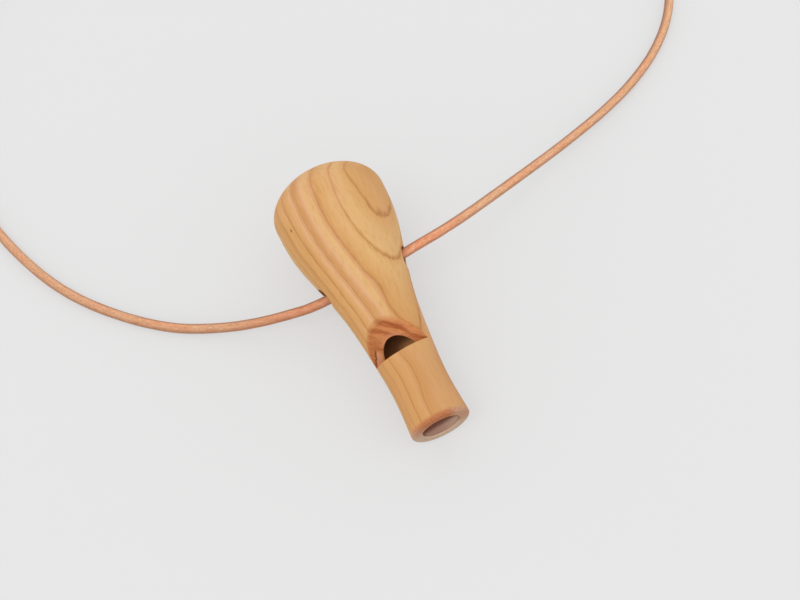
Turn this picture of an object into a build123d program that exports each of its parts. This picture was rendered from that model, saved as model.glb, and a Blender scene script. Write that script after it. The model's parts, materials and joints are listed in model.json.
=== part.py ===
from build123d import *
import os
from math import atan2, cos, degrees, hypot, pi, radians, sin, tan

# A turned wooden bird call: a fipple whistle with a blunt bulb, on a leather neck lace.
# Millimetres, +Z up. The call lies on a table on its bulb and its mouth rim, +X from mouth to bulb.
# The origin is on the table, below the middle of the whistle.

# Turned outline: stations along the lathe axis from the mouth end, and the radius at each
body_length = 84.0
mouth_radius = 8.65
waist_station = 13.0
waist_radius = 8.05
throat_station = 26.0
throat_radius = 8.9
neck_station = 38.5
neck_radius = 10.35
shoulder_station = 56.0
shoulder_radius = 14.5
bulb_station = 73.0
bulb_radius = 16.6
mouth_flare = -0.06
rim_round = 0.9

# Bore, drilled from the mouth
bore_radius = 5.5
bore_depth = 38.0
drill_point_half_angle = 59.0
bore_break = 0.3

# Voicing notch: a saw cut that leans to the mouth and a ramp up to the surface, measured from the cut's foot
# and turned from the lace hole's square
wall_station = 23.15
wall_lean = 12.0
window_length = 4.45
ramp_angle = 39.9
notch_turn = 14.8

# Fipple block and the windway over it
block_fit = 0.05
block_recess = 0.3
windway_entry = 4.4
windway_exit = 1.6
block_break = 0.3

# Cross hole for the lace
hole_station = 48.8
hole_radius = 3.0
hole_round = 0.5

# How far the call has rolled on the table, window towards +Y, measured at the lace hole
roll = 14.5

# Leather lace, slack in its hole
lace_radius = 1.4
lace_half_span = 13.5
lace_skew = 0.9
lace_dip = 1.25

# Knot that closes the lace into a neck loop
knot_x = 149.5
knot_y = -15.0
knot_heading = 69.0
knot_length = 14.0
knot_width = 10.4
knot_height = 5.8
knot_round = 2.4
strand_offset = 1.6
knot_lead = 11.0
tail_length = 12.0
tail_splay = 14.0

# Share of the shorter run that a lace bend takes up, and points tried along the outline
bend_share = 0.45
outline_steps = 200

os.makedirs("parts", exist_ok=True)


def corner_radii(points):
    """Bend radius at each inner point of a lace route, as large as its two runs allow."""
    radii = []
    for before, corner, after in zip(points, points[1:], points[2:]):
        run_in = corner - before
        run_out = after - corner
        half_turn = radians(run_in.get_angle(run_out)) / 2
        radii.append(bend_share * min(run_in.length, run_out.length) / tan(half_turn))
    return radii


def report_lace(name, leg, route, points):
    """Print a lace leg's length, its bend radii and its volume against section times length."""
    length = route.wire().length
    share = leg.part.volume / (pi * lace_radius**2 * length)
    print(f"{name}: length {length:.1f} mm, volume over section times length {share:.4f}")
    print("  bend radii", [round(radius, 1) for radius in corner_radii(points)])


# Outline of the turning in its own flat frame: X along the lathe axis, Y the radius
with BuildLine() as outline:
    flank = Spline(
        (0, mouth_radius),
        (waist_station, waist_radius),
        (throat_station, throat_radius),
        (neck_station, neck_radius),
        (shoulder_station, shoulder_radius),
        (bulb_station, bulb_radius),
        tangents=[(1, mouth_flare), (1, 0)],
    )

# The call rests where a straight edge laid on the mouth rim meets the bulb
flank_points = [flank @ (step / outline_steps) for step in range(outline_steps + 1)]
rim_point = next(point for point in flank_points if point.X >= rim_round)
bulb_points = [point for point in flank_points if point.X > neck_station]
tilt = max(atan2(point.Y - rim_point.Y, point.X - rim_point.X) for point in bulb_points)
lift = max(point.Y * cos(tilt) - point.X * sin(tilt) for point in flank_points)
dome_length = body_length - bulb_station
front_reach = bulb_station * cos(tilt) + hypot(dome_length * cos(tilt), bulb_radius * sin(tilt))
back_reach = (mouth_radius - rim_round) * sin(tilt)
mouth_centre = Vector((back_reach - front_reach) / 2, 0, lift)

axis_direction = Vector(cos(tilt), 0, sin(tilt))
lathe_axis = Axis(mouth_centre, axis_direction)


def plane_on_axis(turn):
    """Plane with local X along the lathe axis from the mouth and local Y up, turned towards +Y."""
    square_up = Vector(0, 0, 1).rotate(Axis.Y, -degrees(tilt))
    turned_up = square_up.rotate(Axis((0, 0, 0), axis_direction), -turn)
    return Plane(origin=mouth_centre, x_dir=axis_direction, z_dir=axis_direction.cross(turned_up))


# Lathe plane: local Z along the lace hole. Notch plane: local Y towards the middle of the window
lathe = plane_on_axis(roll)
notch_plane = plane_on_axis(roll + notch_turn)
mouth_plane = Plane(origin=mouth_centre, x_dir=notch_plane.y_dir, z_dir=axis_direction)

# The turned body
drill_point = bore_radius / tan(radians(drill_point_half_angle))
ramp_rise = tan(radians(ramp_angle))
notch_floor = bore_radius - window_length * ramp_rise
ramp_run = (bulb_radius - notch_floor) / ramp_rise
lean_run = (bulb_radius - notch_floor) * tan(radians(wall_lean))

with BuildSketch(notch_plane) as notch:
    with BuildLine():
        Polyline(
            (wall_station, notch_floor),
            (wall_station + ramp_run, bulb_radius),
            (wall_station - lean_run, bulb_radius),
            close=True,
        )
    make_face()

with BuildPart() as whistle_body:
    with BuildSketch(lathe):
        with BuildLine():
            add(flank)
            EllipticalCenterArc((bulb_station, 0), dome_length, bulb_radius, arc_size=90)
            Polyline((body_length, 0), (0, 0), (0, mouth_radius))
        make_face()
    revolve(axis=lathe_axis)
    mouth_edge = whistle_body.edges().filter_by(GeomType.CIRCLE).sort_by(lathe_axis)[0]
    fillet(mouth_edge, radius=rim_round)
    # Blind bore with its drill point
    with BuildSketch(lathe):
        with BuildLine():
            Polyline(
                (0, 0),
                (0, bore_radius),
                (bore_depth, bore_radius),
                (bore_depth + drill_point, 0),
                close=True,
            )
        make_face()
    revolve(axis=lathe_axis, mode=Mode.SUBTRACT)
    bore_edge = whistle_body.edges().filter_by(GeomType.CIRCLE).sort_by(lathe_axis)[0]
    chamfer(bore_edge, length=bore_break)
    # Voicing notch: the cut's wall faces the bulb and up, the ramp climbs away from it
    extrude(notch.sketch, amount=bulb_radius, both=True, mode=Mode.SUBTRACT)
    # Lace hole across the axis, with softened rims
    with BuildSketch(lathe):
        with Locations((hole_station, 0)):
            Circle(hole_radius)
    extrude(amount=bulb_radius, both=True, mode=Mode.SUBTRACT)
    hole_rims = whistle_body.edges(Select.LAST).filter_by(lambda edge: edge.is_closed)
    fillet(hole_rims, radius=hole_round)

# The block in the bore: a dowel whose planed flat is the floor of the windway
block_radius = bore_radius - block_fit

with BuildPart() as fipple_block:
    with BuildSketch(mouth_plane.offset(block_recess)):
        Circle(block_radius)
    extrude(amount=wall_station - block_recess)
    with BuildSketch(notch_plane):
        with BuildLine():
            Polyline(
                (block_recess, bore_radius - windway_entry),
                (wall_station, bore_radius - windway_exit),
                (wall_station, bore_radius),
                (block_recess, bore_radius),
                close=True,
            )
        make_face()
    extrude(amount=bore_radius, both=True, mode=Mode.SUBTRACT)
    # Sawn off with the body where the cut's wall comes down
    extrude(notch.sketch, amount=bore_radius, both=True, mode=Mode.SUBTRACT)
    block_end = fipple_block.faces().sort_by(lathe_axis)[0]
    chamfer(block_end.edges(), length=block_break)

# The knot's plane lies on the table, local X from the right leg to the left leg
knot_direction = Vector(1, 0, 0).rotate(Axis.Z, knot_heading)
knot_plane = Plane(origin=(knot_x, knot_y, 0), x_dir=knot_direction, z_dir=(0, 0, 1))
knot_end = knot_length / 2
hole_centre = lathe.from_local_coords(Vector(hole_station, 0, 0))

# Left leg: out of the hole, down to the table, round to the knot
left_points = [
    hole_centre,
    lathe.from_local_coords(Vector(hole_station - lace_skew, -lace_dip, -lace_half_span)),
    Vector(10.6, 26.8, 6.0),
    Vector(14.1, 35.3, 3.2),
    Vector(17.9, 43.6, 1.8),
    Vector(22.0, 51.7, lace_radius),
    Vector(27.6, 59.2, lace_radius),
    Vector(34.4, 66.3, lace_radius),
    Vector(42.3, 73.0, lace_radius),
    Vector(51.6, 78.7, lace_radius),
    Vector(62.2, 83.2, lace_radius),
    Vector(74.0, 86.8, lace_radius),
    Vector(87.0, 89.3, lace_radius),
    Vector(101.0, 90.2, lace_radius),
    Vector(116.0, 88.9, lace_radius),
    Vector(131.0, 85.2, lace_radius),
    Vector(145.6, 79.2, lace_radius),
    Vector(158.4, 70.2, lace_radius),
    Vector(167.4, 58.0, lace_radius),
    Vector(170.6, 43.6, lace_radius),
    Vector(168.8, 29.6, lace_radius),
    Vector(163.4, 16.4, lace_radius),
    knot_plane.from_local_coords(Vector(knot_end + knot_lead, strand_offset, lace_radius)),
    knot_plane.from_local_coords(Vector(knot_end, strand_offset, lace_radius)),
]

with BuildPart() as lace_left_leg:
    with BuildLine() as left_route:
        FilletPolyline(*left_points, radius=corner_radii(left_points))
    with BuildSketch(Plane(origin=left_route.line @ 0, z_dir=left_route.line % 0)):
        Circle(lace_radius)
    sweep()

# Right leg: out of the hole above the table, down in a long slope, round to the knot
right_points = [
    hole_centre,
    lathe.from_local_coords(Vector(hole_station + lace_skew, lace_dip, lace_half_span)),
    Vector(10.8, -26.2, 17.0),
    Vector(15.6, -38.8, 13.7),
    Vector(21.0, -52.1, 10.3),
    Vector(26.3, -65.6, 7.2),
    Vector(31.8, -79.5, 4.6),
    Vector(37.6, -93.8, 2.7),
    Vector(44.4, -108.0, 1.7),
    Vector(53.2, -121.4, lace_radius),
    Vector(64.4, -132.4, lace_radius),
    Vector(77.6, -139.6, lace_radius),
    Vector(91.6, -141.2, lace_radius),
    Vector(104.4, -136.4, lace_radius),
    Vector(113.8, -126.4, lace_radius),
    Vector(119.6, -112.4, lace_radius),
    Vector(123.6, -95.0, lace_radius),
    Vector(127.8, -78.0, lace_radius),
    Vector(133.0, -61.6, lace_radius),
    Vector(138.0, -47.0, lace_radius),
    knot_plane.from_local_coords(Vector(-knot_end - knot_lead, strand_offset, lace_radius)),
    knot_plane.from_local_coords(Vector(-knot_end, strand_offset, lace_radius)),
]

with BuildPart() as lace_right_leg:
    with BuildLine() as right_route:
        FilletPolyline(*right_points, radius=corner_radii(right_points))
    with BuildSketch(Plane(origin=right_route.line @ 0, z_dir=right_route.line % 0)):
        Circle(lace_radius)
    sweep()

# The knot: a flat square knot's outer shape, with a tail beside each leg
left_tail_direction = knot_direction.rotate(Axis.Z, -tail_splay)
right_tail_direction = -knot_direction.rotate(Axis.Z, tail_splay)
tail_height = lace_radius

with BuildPart() as lace_knot:
    with BuildSketch(knot_plane):
        RectangleRounded(knot_length, knot_width, knot_round)
    extrude(amount=knot_height)
    top_edges = lace_knot.faces().sort_by(Axis.Z)[-1].edges()
    fillet(top_edges, radius=knot_round)
    for end, direction in ((1, left_tail_direction), (-1, right_tail_direction)):
        root_local = Vector(end * (knot_end - knot_round), -strand_offset, tail_height)
        root = knot_plane.from_local_coords(root_local)
        with BuildSketch(Plane(origin=root, z_dir=direction)):
            Circle(lace_radius)
        extrude(amount=tail_length + knot_round)

pieces = {
    "whistle_body": whistle_body,
    "fipple_block": fipple_block,
    "lace_left_leg": lace_left_leg,
    "lace_right_leg": lace_right_leg,
    "lace_knot": lace_knot,
}
for node, piece in pieces.items():
    piece.part.label = node
    export_step(piece.part, f"parts/{node}.step")

report_lace("left leg", lace_left_leg, left_route, left_points)
report_lace("right leg", lace_right_leg, right_route, right_points)
print(f"rest tilt {degrees(tilt):.3f} degrees, mouth centre {mouth_centre}")
print(f"lace hole centre {hole_centre}, direction {lathe.z_dir}, window direction {notch_plane.y_dir}")
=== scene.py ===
"""A turned wooden bird call on a leather neck lace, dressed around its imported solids. Metres, +Z up."""

import json
import logging
import math
from dataclasses import dataclass, field
from enum import Enum
from functools import cached_property, reduce
from typing import Any, Dict, List, Optional, Sequence, Tuple, Union

import bpy
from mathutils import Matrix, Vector


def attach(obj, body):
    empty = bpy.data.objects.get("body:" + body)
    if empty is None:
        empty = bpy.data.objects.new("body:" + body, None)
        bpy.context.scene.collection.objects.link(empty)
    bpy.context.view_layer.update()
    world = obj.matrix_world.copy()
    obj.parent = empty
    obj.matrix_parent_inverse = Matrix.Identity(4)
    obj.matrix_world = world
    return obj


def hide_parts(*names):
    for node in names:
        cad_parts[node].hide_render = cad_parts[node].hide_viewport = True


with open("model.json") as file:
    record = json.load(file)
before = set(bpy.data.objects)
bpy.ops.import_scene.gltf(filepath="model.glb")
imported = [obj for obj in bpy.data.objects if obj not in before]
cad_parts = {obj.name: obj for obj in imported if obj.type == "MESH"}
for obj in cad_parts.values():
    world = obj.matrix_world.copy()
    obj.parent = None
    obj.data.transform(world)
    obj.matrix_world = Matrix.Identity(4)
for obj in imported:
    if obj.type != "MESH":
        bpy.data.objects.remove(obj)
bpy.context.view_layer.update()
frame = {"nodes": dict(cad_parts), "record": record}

log = logging.getLogger("bird_call")

MM = 0.001
NOISE_MIDDLE = 0.5
Colour = Tuple[float, float, float, float]
Point = Tuple[float, float, float]
# A span is where Value.rise starts and ends, and a change has its first and last level too.
Span = Tuple[float, float]
Change = Tuple[float, float, float, float]
Stops = List[Tuple[float, Colour]]
Operand = Union["Value", int, float]


def paint(red: int, green: int, blue: int) -> Colour:
    """A colour as seen on a screen, 0 to 255, as Blender's linear colour.

    Args:
        red: red part, 0 to 255.
        green: green part, 0 to 255.
        blue: blue part, 0 to 255.

    Returns:
        The linear colour with full alpha.
    """
    def linear(level: int) -> float:
        """One channel from screen to linear."""
        share = level / 255
        return share / 12.92 if share <= 0.04045 else ((share + 0.055) / 1.055) ** 2.4

    return linear(red), linear(green), linear(blue), 1.0


class Leg(Enum):
    """The two legs of the neck lace."""

    LEFT = "lace_left_leg"
    RIGHT = "lace_right_leg"


class Tone(Enum):
    """Named tones of the oiled wood."""

    PALE = paint(226, 181, 122)
    HONEY = paint(217, 164, 103)
    AMBER = paint(206, 149, 90)
    ROSE = paint(214, 158, 110)
    BLUSH = paint(225, 175, 128)
    LATEWOOD = paint(166, 102, 48)
    CUT = paint(210, 138, 84)
    CUT_DARK = paint(158, 76, 36)


# Node trees

class Value:
    """A socket with a number on it, on which Python's operators add Math nodes."""

    def __init__(self, sketch: "NodeSketch", socket: Optional[bpy.types.NodeSocket]) -> None:
        """Wrap a socket of that sketch's tree."""
        self.sketch = sketch
        self.socket = socket

    def __add__(self, other: Operand) -> "Value":
        """self + other"""
        return self.sketch.math("ADD", self, other)

    def __radd__(self, other: Operand) -> "Value":
        """other + self"""
        return self.sketch.math("ADD", other, self)

    def __sub__(self, other: Operand) -> "Value":
        """self - other"""
        return self.sketch.math("SUBTRACT", self, other)

    def __rsub__(self, other: Operand) -> "Value":
        """other - self"""
        return self.sketch.math("SUBTRACT", other, self)

    def __mul__(self, other: Operand) -> "Value":
        """self * other"""
        return self.sketch.math("MULTIPLY", self, other)

    def __rmul__(self, other: Operand) -> "Value":
        """other * self"""
        return self.sketch.math("MULTIPLY", other, self)

    def __truediv__(self, other: Operand) -> "Value":
        """self / other"""
        return self.sketch.math("DIVIDE", self, other)

    def __pow__(self, other: Operand) -> "Value":
        """self ** other"""
        return self.sketch.math("POWER", self, other)

    def __abs__(self) -> "Value":
        """abs(self)"""
        return self.sketch.math("ABSOLUTE", self)

    def most(self, *others: "Value") -> "Value":
        """The largest of two or more values."""
        return reduce(lambda first, second: self.sketch.math("MAXIMUM", first, second), others, self)

    def rise(self, start: float, end: float, first: float = 0.0, last: float = 1.0) -> "Value":
        """A smooth change from one level to another.

        Args:
            start: where the change starts; it may lie above the end.
            end: where the change ends.
            first: the level up to the start.
            last: the level from the end on.

        Returns:
            The level at this value.
        """
        if start > end:
            start, end, first, last = end, start, last, first
        settings = {"interpolation_type": "SMOOTHSTEP"}
        sockets = {"Value": self, "From Min": start, "From Max": end, "To Min": first, "To Max": last}
        return self.sketch.node("ShaderNodeMapRange", settings, sockets, "Result")


class NodeSketch:
    """Adds nodes to one node tree by type, settings and sockets."""

    def __init__(self, tree: bpy.types.NodeTree) -> None:
        """Start on a tree."""
        self.tree = tree

    @staticmethod
    def _socket(sockets: Any, key: Union[int, str]) -> bpy.types.NodeSocket:
        """A socket by index, identifier or name.

        Args:
            sockets: a node's inputs or outputs.
            key: the index, identifier or name.

        Returns:
            The socket.
        """
        if isinstance(key, int):
            return sockets[key]
        for socket in sockets:
            if socket.identifier == key:
                return socket
        return sockets[key]

    @staticmethod
    def _set_stops(ramp: bpy.types.ColorRamp, stops: Stops) -> None:
        """Give a colour ramp these stops.

        Args:
            ramp: the ramp.
            stops: positions from 0 to 1 and their colours.
        """
        while len(ramp.elements) > 1:
            ramp.elements.remove(ramp.elements[-1])
        ramp.elements[0].position, ramp.elements[0].color = stops[0]
        for position, colour in stops[1:]:
            ramp.elements.new(position).color = colour

    def node(
        self,
        kind: str,
        settings: Optional[Dict[str, Any]] = None,
        sockets: Optional[Dict[Union[int, str], Any]] = None,
        output: Union[int, str] = 0,
    ) -> Value:
        """Add a node, set it up and feed it.

        Args:
            kind: the node's type.
            settings: attributes set first; "stops" sets a colour ramp's positions and colours.
            sockets: a value, colour, vector or Value for each input by name, identifier or index.
            output: the output that is wanted.

        Returns:
            That output as a Value, without a socket where the node has no output.
        """
        made = self.tree.nodes.new(kind)
        for name, setting in (settings or {}).items():
            if name == "stops":
                self._set_stops(made.color_ramp, setting)
            else:
                setattr(made, name, setting)
        for key, given in (sockets or {}).items():
            target = self._socket(made.inputs, key)
            if isinstance(given, Value):
                self.tree.links.new(given.socket, target)
            else:
                target.default_value = given
        return Value(self, self._socket(made.outputs, output) if len(made.outputs) else None)

    def math(self, operation: str, *values: Operand) -> Value:
        """A Math node on one to three values."""
        return self.node("ShaderNodeMath", {"operation": operation}, dict(enumerate(values)))

    def vector_math(self, operation: str, *vectors: Any, output: str = "Vector") -> Value:
        """A Vector Math node on one or two vectors."""
        return self.node("ShaderNodeVectorMath", {"operation": operation}, dict(enumerate(vectors)), output)

    def scaled(self, vector: Value, scale: Operand) -> Value:
        """A vector times a number."""
        return self.node("ShaderNodeVectorMath", {"operation": "SCALE"}, {0: vector, "Scale": scale})

    def vector(self, first: Operand, second: Operand, third: Operand) -> Value:
        """A vector from three values."""
        return self.node("ShaderNodeCombineXYZ", None, {0: first, 1: second, 2: third})

    def parts(self, vector: Value) -> Tuple[Value, ...]:
        """The three parts of a vector."""
        split = self.node("ShaderNodeSeparateXYZ", None, {0: vector}).socket.node
        return tuple(Value(self, output) for output in split.outputs)

    def noise(self, where: Value, scale: float, detail: float = 2.0, roughness: float = 0.5) -> Value:
        """Smooth noise from 0 to 1, about NOISE_MIDDLE."""
        sockets = {"Vector": where, "Scale": scale, "Detail": detail, "Roughness": roughness}
        return self.node("ShaderNodeTexNoise", {"noise_dimensions": "3D"}, sockets)


@dataclass(frozen=True)
class Grain:
    """Stretched noise: its rate along the first coordinate, along the other two, and its detail."""

    first: float
    others: float
    scale: float = 1.0
    detail: float = 2.0
    roughness: float = 0.5


@dataclass(frozen=True)
class Wash:
    """A thin coat of colour that comes in, up to a share, as a mask goes from start to end."""

    colour: Colour
    start: float
    end: float
    share: float


@dataclass(frozen=True)
class Relief:
    """Fine relief: the depth of its bump in metres, the bump's strength, and the specular level."""

    depth: float
    strength: float
    specular: float


class Surface(NodeSketch):
    """A material drawn with nodes, from Object coordinates in millimetres or a named attribute."""

    def __init__(self, name: str) -> None:
        """Start an empty material.

        Args:
            name: the material's name.
        """
        self.material = bpy.data.materials.new(name)
        self.material.use_nodes = True
        self.material.node_tree.nodes.clear()
        super().__init__(self.material.node_tree)

    def place(self) -> Value:
        """Object coordinates in millimetres."""
        return self.scaled(self.node("ShaderNodeTexCoord", output="Object"), 1 / MM)

    def attribute(self, name: str) -> Value:
        """A vector attribute of the mesh."""
        return self.node("ShaderNodeAttribute", {"attribute_name": name}, output="Vector")

    def along(self, where: Value, start: Vector, direction: Vector) -> Value:
        """How far a point lies from start in that direction."""
        from_start = self.vector_math("SUBTRACT", where, start)
        return self.vector_math("DOT_PRODUCT", from_start, direction, output="Value")

    def grain(self, coordinates: Sequence[Operand], grain: Grain) -> Value:
        """Noise stretched over three coordinates.

        Args:
            coordinates: the three coordinates, in millimetres.
            grain: how the noise is stretched.

        Returns:
            The noise, from 0 to 1.
        """
        first, second, third = coordinates
        where = self.vector(first * grain.first, second * grain.others, third * grain.others)
        return self.noise(where, grain.scale, grain.detail, grain.roughness)

    def mix(self, share: Operand, first: Any, second: Any) -> Value:
        """A colour between two, at that share of the second."""
        settings = {"data_type": "RGBA", "clamp_factor": True}
        sockets = {"Factor_Float": share, "A_Color": first, "B_Color": second}
        return self.node("ShaderNodeMix", settings, sockets, "Result_Color")

    def coats(self, tone: Any, *coats: Tuple[Value, Wash]) -> Value:
        """Lay washes over a colour, one after another.

        Args:
            tone: the colour below.
            coats: pairs of a mask and the wash that it brings in.

        Returns:
            The colour with the washes on it.
        """
        for mask, wash in coats:
            tone = self.mix(mask.rise(wash.start, wash.end, 0.0, wash.share), tone, wash.colour)
        return tone

    def ramp(self, position: Value, stops: Stops) -> Value:
        """A colour picked along straight-line stops."""
        return self.node("ShaderNodeValToRGB", {"stops": stops}, {0: position})

    def finish(self, **sockets: Any) -> bpy.types.Material:
        """Close the material with a Principled shader.

        Args:
            sockets: the shader's inputs, with underscores for spaces.

        Returns:
            The finished material.
        """
        inputs = {name.replace("_", " "): given for name, given in sockets.items()}
        shader = self.node("ShaderNodeBsdfPrincipled", None, inputs)
        self.node("ShaderNodeOutputMaterial", None, {"Surface": shader})
        return self.material

    def dress(self, tone: Value, rough: Value, height: Value, relief: Relief) -> bpy.types.Material:
        """Close the material with a colour, a roughness and fine relief.

        Args:
            tone: the colour.
            rough: the roughness.
            height: the relief's height, from 0 to 1.
            relief: how deep it is and how it catches the light.

        Returns:
            The finished material.
        """
        sockets = {"Height": height, "Distance": relief.depth, "Strength": relief.strength}
        normal = self.node("ShaderNodeBump", None, sockets, "Normal")
        return self.finish(
            Base_Color=tone, Roughness=rough, Normal=normal, Specular_IOR_Level=relief.specular,
        )


# Objects and meshes

def linked(name: str, data: bpy.types.ID) -> bpy.types.Object:
    """A new object in the scene.

    Args:
        name: the object's name.
        data: its mesh, curve, lamp or camera.

    Returns:
        The object.
    """
    made = bpy.data.objects.new(name, data)
    bpy.context.scene.collection.objects.link(made)
    return made


def evaluated_mesh(carrier: bpy.types.Object) -> bpy.types.Mesh:
    """A plain mesh of an object as its modifiers and curves make it.

    Args:
        carrier: the object.

    Returns:
        The mesh, with its attributes.
    """
    bpy.context.view_layer.update()
    graph = bpy.context.evaluated_depsgraph_get()
    made = carrier.evaluated_get(graph)
    return bpy.data.meshes.new_from_object(made, preserve_all_data_layers=True, depsgraph=graph)


# The whistle's sizes and directions

@dataclass(frozen=True)
class WhistleSizes:
    """Sizes of the turned body that its finish follows, in millimetres and degrees."""

    length: float = 84.0
    hole_station: float = 48.8
    hole_radius: float = 3.0
    bore_radius: float = 5.5
    bore_depth: float = 38.0
    wall_station: float = 23.15
    wall_lean: float = 12.0
    window_length: float = 4.45
    ramp_angle: float = 39.9
    window_turn: float = 29.3
    block_recess: float = 0.3
    windway_entry: float = 4.4
    windway_exit: float = 1.6

    @property
    def ramp_rise(self) -> float:
        """Rise of the ramp for each millimetre along the axis."""
        return math.tan(math.radians(self.ramp_angle))

    @property
    def notch_floor(self) -> float:
        """Height of the ramp's foot above the axis."""
        return self.bore_radius - self.window_length * self.ramp_rise

    @property
    def flat_rise(self) -> float:
        """Rise of the block's flat for each millimetre along the axis."""
        return (self.windway_entry - self.windway_exit) / (self.wall_station - self.block_recess)


@dataclass(frozen=True)
class LatheFrame:
    """Where the turned body lies: its mouth centre in millimetres and its directions."""

    mouth: Vector
    axis: Vector
    left: Vector
    up: Vector
    window: Vector
    window_side: Vector
    hole_direction: Vector
    hole_centre: Vector

    @classmethod
    def from_record(cls, record: Dict[str, Any], sizes: WhistleSizes) -> "LatheFrame":
        """Read the axis from the mouth end's mount and the lace hole from its joint.

        Args:
            record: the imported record.
            sizes: the whistle's sizes, for the hole's station and the window's turn.

        Returns:
            The frame of the turned body.
        """
        mount = next(mount for mount in record["mounts"] if mount["name"] == "mouth_end")
        joint = record["behaviour"]["joints"][0]
        axis = -Vector(mount["axis"]).normalized()
        left = Vector((0, 0, 1)).cross(axis).normalized()
        up = axis.cross(left)
        turn = math.radians(sizes.window_turn)
        hole_centre = Vector(joint["pos_m"]) / MM
        return cls(
            mouth=hole_centre - axis * sizes.hole_station,
            axis=axis,
            left=left,
            up=up,
            window=up * math.cos(turn) + left * math.sin(turn),
            window_side=left * math.cos(turn) - up * math.sin(turn),
            hole_direction=Vector(joint["axis"]).normalized(),
            hole_centre=hole_centre,
        )

    def point(self, station: float, left: float, up: float) -> Vector:
        """A point in millimetres from its station and its two offsets."""
        return self.mouth + self.axis * station + self.left * left + self.up * up


class WoodPlace:
    """The shaded point in the whistle's own directions, in millimetres."""

    def __init__(self, skin: Surface, lathe: LatheFrame) -> None:
        """Work out the point's coordinates as shader values.

        Args:
            skin: the material being drawn.
            lathe: where the whistle lies.
        """
        self.skin = skin
        self.lathe = lathe
        self.point = skin.place()
        self.station = self._from_mouth(lathe.axis)
        self.left = self._from_mouth(lathe.left)
        self.up = self._from_mouth(lathe.up)
        self.to_window = self._from_mouth(lathe.window)

    def _from_mouth(self, direction: Vector) -> Value:
        """How far the point lies from the mouth's centre in that direction."""
        return self.skin.along(self.point, self.lathe.mouth, direction)

    @cached_property
    def across(self) -> Value:
        """Offset across the ramp, to its left."""
        return self._from_mouth(self.lathe.window_side)

    @cached_property
    def radius(self) -> Value:
        """Distance from the axis."""
        return (self.left * self.left + self.up * self.up) ** 0.5

    def grain(self, grain: Grain) -> Value:
        """Noise stretched along the wood's grain."""
        return self.skin.grain((self.station, self.left, self.up), grain)


# The whistle's wood

@dataclass(frozen=True)
class RingBend:
    """Stations, and rings if not all, over which the growth rings shift by some millimetres."""

    stations: Span
    shift: float
    rings: Optional[Span] = None


@dataclass(frozen=True)
class GrowthRings:
    """Nearly flat rings that fan out towards the bulb.

    Positions are millimetres across the rings. A line is a position and a strength, a tone a position
    and a colour.
    """

    turn: float = -35.6
    span: Span = (-5.6, 16.9)
    fan_station: float = 48.0
    fan_length: float = 20.0
    fan_rise: float = 2.48
    fan_slowing: float = 0.19
    fan_left: float = 0.035
    fan_up: float = 0.186
    bends: Tuple[RingBend, ...] = (
        RingBend((43.0, 31.0), 1.3, (4.5, 8.0)),
        RingBend((62.0, 82.0), 1.2, (12.8, 14.4)),
        RingBend((17.0, 3.0), 1.3),
    )
    drift: Grain = Grain(0.035, 0.07, detail=1.0)
    drift_shift: float = 1.2
    wobble: Grain = Grain(0.16, 0.6, detail=3.0)
    wobble_shift: float = 0.8
    lines: Tuple[Span, ...] = (
        (-3.9, 0.6), (-0.75, 1.0), (3.15, 0.85), (8.35, 0.8), (12.1, 0.75), (15.6, 0.75),
    )
    line_sharp_side: float = 0.17
    line_soft_side: float = 0.374
    tones: Tuple[Tuple[float, Tone], ...] = (
        (-5.6, Tone.HONEY), (-4.1, Tone.AMBER), (-3.2, Tone.HONEY), (-2.2, Tone.HONEY),
        (-1.2, Tone.HONEY), (-0.6, Tone.AMBER), (0.5, Tone.HONEY), (2.0, Tone.BLUSH),
        (2.6, Tone.ROSE), (3.9, Tone.AMBER), (4.5, Tone.ROSE), (5.4, Tone.BLUSH),
        (7.2, Tone.PALE), (7.9, Tone.ROSE), (8.5, Tone.AMBER), (9.4, Tone.HONEY),
        (11.3, Tone.PALE), (12.05, Tone.HONEY), (12.6, Tone.PALE), (14.0, Tone.PALE),
        (15.45, Tone.HONEY), (16.9, Tone.HONEY),
    )

    def position(self, place: WoodPlace) -> Value:
        """How far across the span of rings the shaded point lies.

        Args:
            place: the shaded point.

        Returns:
            The share of the span, from 0 to 1.
        """
        turn = math.radians(self.turn)
        share = (place.station - self.fan_station) / self.fan_length
        flatter = share * self.fan_slowing + place.left * self.fan_left + place.up * self.fan_up
        fan = share * (self.fan_rise - flatter)
        ring = place.left * math.sin(turn) + place.up * math.cos(turn) + fan
        for bend in self.bends:
            shifted = place.station.rise(*bend.stations, 0.0, bend.shift)
            ring = ring + (shifted * ring.rise(*bend.rings) if bend.rings else shifted)
        ring = ring + (place.grain(self.drift) - NOISE_MIDDLE) * self.drift_shift
        ring = ring + (place.grain(self.wobble) - NOISE_MIDDLE) * self.wobble_shift
        low, high = self.span
        return (place.skin.math("WRAP", ring, high, low) - low) / (high - low)

    def _share(self, position: float) -> float:
        """A ring position as a share of the span."""
        low, high = self.span
        return (position - low) / (high - low)

    def line_stops(self) -> Stops:
        """Stops of the ramp of thin latewood lines, sharp on one side and soft on the other.

        Returns:
            Positions from 0 to 1 with grey levels.
        """
        stops = []
        for position, strength in self.lines:
            corners = ((-self.line_sharp_side, 0.0), (0.0, strength), (self.line_soft_side, 0.0))
            for offset, level in corners:
                stops.append((self._share(position + offset), (level, level, level, 1.0)))
        return stops

    def tone_stops(self) -> Stops:
        """Stops of the ramp of broad ring tones."""
        return [(self._share(position), tone.value) for position, tone in self.tones]


@dataclass
class FlankGrain:
    """Shader values of the turned flank: its colour and the masks of its marks."""

    tone: Value
    fibre: Value
    fine_fibre: Value
    pore: Value
    line: Value


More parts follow.
